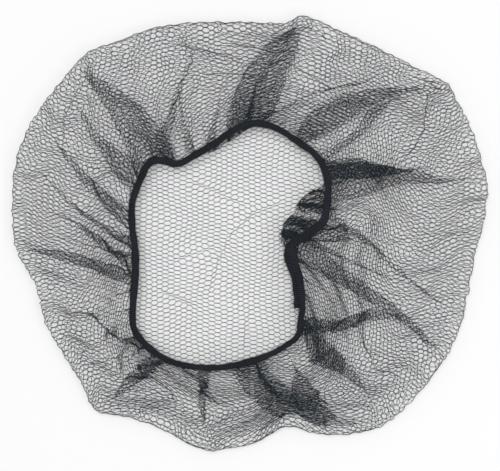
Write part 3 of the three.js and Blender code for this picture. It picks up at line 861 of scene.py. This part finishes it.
def band_line(cap, band, stations):
    """Stations along the band by distance: round the loop once, then on over its own start by the lap.
    Returns the section angle, how far the end has climbed, and the distance."""
    loop = band.lap_start + np.linspace(0, FULL_TURN, 1441)
    lengths = run_lengths(plan_curve(cap, "band", loop))
    distance = np.linspace(0, lengths[-1] + band.lap_length, stations)
    angle = np.interp(np.mod(distance, lengths[-1]), lengths, loop)
    return angle, ease((distance - (lengths[-1] - band.lap_ramp)) / band.lap_ramp), distance


def band_frame(cap, band, stations):
    """Middle of the band's section at each station, the level way out of the loop, half its width, and the
    distance along it. Where the ends lap, the lower one is shifted into the loop and the upper one out of it.
    The cut ends are a little narrower, with round corners."""
    angle, climbed, distance = band_line(cap, band, stations)
    shift = band.lap_shift * (climbed - ease((band.lap_length + band.lap_ramp - distance) / band.lap_ramp))
    out = band_outward(cap, angle)
    plan = plan_curve(cap, "band", angle) + out * shift[:, None] - plan_middle(cap)
    height = cap.edge_height * column("lift", angle) + band.clearance + band.thickness / 2
    height = height + climbed * (band.thickness + LAP_AIR)
    middle = np.column_stack([plan, height])
    way = np.column_stack([out, np.zeros(len(angle))])
    to_end = np.minimum(distance, distance[-1] - distance) / END_ROUNDING
    rounded = (1 - (1 - np.clip(to_end, 0.02, 1)) ** 3) ** (1 / 3)
    uneven = 1 + band.uneven * waver(distance, 0.011, WIDTH_SEED)
    return middle, way, band.width / 2 * column("spread", angle) * rounded * uneven, distance


class HAIRNET_OT_band(bpy.types.Operator):
    """Build the knitted elastic band, one strip with lapped ends"""

    bl_idname = "hairnet.band"
    bl_label = "Elastic Band"

    def execute(self, context):
        scene = context.scene
        band = scene.hairnet_band
        middle, way, half, distance = band_frame(scene.hairnet_cap, band, BAND_STATIONS)
        around = np.arange(BAND_SIDES) * 2 * np.pi / BAND_SIDES
        cos, sin = np.cos(around), np.sin(around)
        # A flat strip with full edges: a superellipse, its faces pressed into ribs of slanting loops
        across, up = squarer(cos, 0.75), squarer(sin, 0.45)
        ribs = np.abs(np.sin(BAND_RIBS * np.pi * across))
        slant = np.where(np.mod(np.floor(BAND_RIBS * across), 2) == 0, 1.0, -1.0) * ribs
        loops = np.sin(2 * np.pi * distance[:, None] / band.loop_pitch + 1.9 * slant)
        relief = band.relief * (0.75 * ribs + 0.45 * loops * ribs - 0.6)
        uneven = 1 + 0.03 * waver(distance, 0.012, SECTION_SEED)[:, None]
        wide = half[:, None] * uneven * across + band.relief * 0.5 * loops * squarer(cos, 4)
        high = (band.thickness / 2 + relief * np.abs(sin) ** 0.3) * up
        points = middle[:, None, :] + way[:, None, :] * wide[..., None]
        points[..., 2] += high
        first = np.arange(BAND_STATIONS - 1) * BAND_SIDES
        # The way out, the way up and the line's own heading make a left-handed set, so the quads are turned
        faces = tube_faces(first, first + BAND_SIDES, BAND_SIDES)[:, ::-1].tolist()
        corners = list(range(BAND_STATIONS * BAND_SIDES))
        faces += [corners[:BAND_SIDES], corners[: -BAND_SIDES - 1 : -1]]
        material = elastic_material(scene.hairnet_looks)
        mesh_piece("knitted_band", points.reshape(-1, 3), faces, material, ("elastic_band",))
        return {"FINISHED"}


class HAIRNET_OT_stitches(bpy.types.Operator):
    """Build the edge stitches: one thread that whips the net to the band"""

    bl_idname = "hairnet.stitches"
    bl_label = "Edge Stitches"

    def execute(self, context):
        scene = context.scene
        cap, band = scene.hairnet_cap, scene.hairnet_band
        turns = round(band_line(cap, band, 2)[2][-1] / band.stitch_pitch)
        middle, way, half, distance = band_frame(cap, band, turns * STITCH_POINTS)
        stray = waver(distance, 0.004, STITCH_SEED)
        # A flat coil about the band: out along the way by the cosine, up by the sine, with squarish corners
        phase = 2 * np.pi * distance / band.stitch_pitch + 0.5 * stray
        wide = (half + STITCH_OUT + STITCH_STRAY * stray) * squarer(np.cos(phase), 0.8)
        points = middle + way * wide[:, None]
        points[:, 2] += (band.thickness / 2 + STITCH_UP) * squarer(np.sin(phase), 0.6)
        tangent, heading = (unit(np.gradient(line, axis=0)) for line in (points, middle))
        radius = np.full(len(points), band.thread / 2)
        corners, faces = closed_tubes(*(row[None] for row in (points, tangent, heading, radius)))
        mesh_piece("edge_stitches", corners, faces.tolist(), thread_material(scene.hairnet_looks))
        return {"FINISHED"}


class HAIRNET_OT_fibres(bpy.types.Operator):
    """Build the short loose fibres that stand out from the band's edges and cut ends"""

    bl_idname = "hairnet.fibres"
    bl_label = "Loose Fibres"

    def execute(self, context):
        scene = context.scene
        band = scene.hairnet_band
        rng = np.random.default_rng(FIBRE_SEED)
        count = band.fibres
        middle, way, half, _ = band_frame(scene.hairnet_cap, band, FIBRE_STATIONS)
        # Most stand anywhere along the band, and a tenth of them near each cut end
        at = rng.integers(0, FIBRE_STATIONS, count)
        tenth, fifth = count // 10, count // 5
        at[:tenth] = rng.integers(0, END_STATIONS, tenth)
        at[tenth:fifth] = rng.integers(FIBRE_STATIONS - END_STATIONS, FIBRE_STATIONS, fifth - tenth)
        side = rng.choice((-1.0, 1.0), count)[:, None]
        along = unit(np.gradient(middle, axis=0))[at]
        slant = rng.uniform(0.2, 1.5, count)[:, None] * rng.choice((-1, 1), count)[:, None]
        heading = way[at] * side * np.abs(np.sin(slant)) + along * np.cos(slant) * np.sign(slant)
        length = rng.uniform(*FIBRE_LENGTHS, count)[:, None, None]
        t = np.linspace(0, 1, FIBRE_POINTS)[None, :, None]
        up = np.array((0, 0, 1.0))
        # Each is a parabola: out along its heading, bent sideways by the square of the way, and sagging
        bend = rng.normal(0, 0.5, count)[:, None, None] * np.cross(heading, up)[:, None, :]
        points = (middle[at] + way[at] * side * half[at][:, None] * 0.9)[:, None, :]
        points = points + length * (heading[:, None, :] * t + bend * t**2)
        points[..., 2] += FIBRE_SAG * rng.uniform(-1, 0.4, count)[:, None] * t[..., 0] ** 2
        radius = np.full(points.shape[:2], band.fibre / 2) * (1.1 - 0.6 * t[..., 0])
        corners, faces = closed_tubes(points, unit(np.gradient(points, axis=1)), up, radius)
        mesh_piece("loose_fibres", corners, faces.tolist(), thread_material(scene.hairnet_looks))
        return {"FINISHED"}


class HAIRNET_OT_stage(bpy.types.Operator):
    """Set up the pale floor, the soft lamps and the camera"""

    bl_idname = "hairnet.stage"
    bl_label = "Stage"

    def execute(self, context):
        scene, looks = context.scene, context.scene.hairnet_looks
        mesh = bpy.data.meshes.new("floor")
        corners = [(x * FLOOR_HALF, y * FLOOR_HALF, 0) for x, y in ((-1, -1), (1, -1), (1, 1), (-1, 1))]
        mesh.from_pydata(corners, [], [(0, 1, 2, 3)])
        floor = bpy.data.objects.new("floor", mesh)
        scene.collection.objects.link(floor)
        material, shader = new_material("Pale floor")
        set_inputs(shader, {"Base Color": (*looks.floor, 1.0), "Roughness": 0.9, "Specular IOR Level": 0.0})
        mesh.materials.append(material)

        world = bpy.data.worlds.new("Even light")
        scene.world = world
        world.use_nodes = True
        set_inputs(world.node_tree.nodes["Background"], {"Color": (1.0, 1.0, 1.0, 1.0), "Strength": looks.sky})
        for name, place, size, share in LAMPS:
            light = bpy.data.lights.new(name, "AREA")
            light.shape, light.size, light.energy = "DISK", size, looks.lamp * share
            lamp = bpy.data.objects.new(name, light)
            lamp.location = place
            lamp.rotation_euler = (-Vector(place)).to_track_quat("-Z", "Y").to_euler()
            scene.collection.objects.link(lamp)

        # Straight above, framed as in the photo: the object's middle lies a little above the picture's
        eye = bpy.data.cameras.new("camera")
        eye.sensor_width = SENSOR
        eye.lens = SENSOR * (looks.eye_height - VIEW_HEIGHT) / looks.view_width
        camera = bpy.data.objects.new("camera", eye)
        camera.location = (0.0, -PIXELS_UP * looks.view_width / PHOTO_WIDTH, looks.eye_height)
        scene.collection.objects.link(camera)
        scene.camera = camera
        scene.view_settings.view_transform = "Standard"
        return {"FINISHED"}


class HAIRNET_PT_sidebar(bpy.types.Panel):
    """The hairnet's sizes, colours and steps"""

    bl_label = "Hairnet"
    bl_space_type = "VIEW_3D"
    bl_region_type = "UI"
    bl_category = "Hairnet"

    def draw(self, context):
        for group in ("hairnet_cap", "hairnet_mesh", "hairnet_band", "hairnet_looks"):
            box = self.layout.box()
            settings = getattr(context.scene, group)
            for name in settings.bl_rna.properties.keys():
                if name not in ("rna_type", "name"):
                    box.prop(settings, name)
        for operator in OPERATORS:
            self.layout.operator(operator.bl_idname)


GROUPS = {
    "hairnet_cap": HairnetCap,
    "hairnet_mesh": HairnetMesh,
    "hairnet_band": HairnetBand,
    "hairnet_looks": HairnetLooks,
}
OPERATORS = (HAIRNET_OT_stage, HAIRNET_OT_net, HAIRNET_OT_band, HAIRNET_OT_stitches, HAIRNET_OT_fibres)


def register():
    for cls in (*GROUPS.values(), *OPERATORS, HAIRNET_PT_sidebar):
        bpy.utils.register_class(cls)
    for name, cls in GROUPS.items():
        setattr(bpy.types.Scene, name, PointerProperty(type=cls))


def unregister():
    for name in GROUPS:
        delattr(bpy.types.Scene, name)
    for cls in reversed((*GROUPS.values(), *OPERATORS, HAIRNET_PT_sidebar)):
        bpy.utils.unregister_class(cls)


def main():
    register()
    bpy.ops.hairnet.stage()
    bpy.ops.hairnet.net()
    bpy.ops.hairnet.band()
    bpy.ops.hairnet.stitches()
    bpy.ops.hairnet.fibres()


if __name__ == "__main__":
    main()
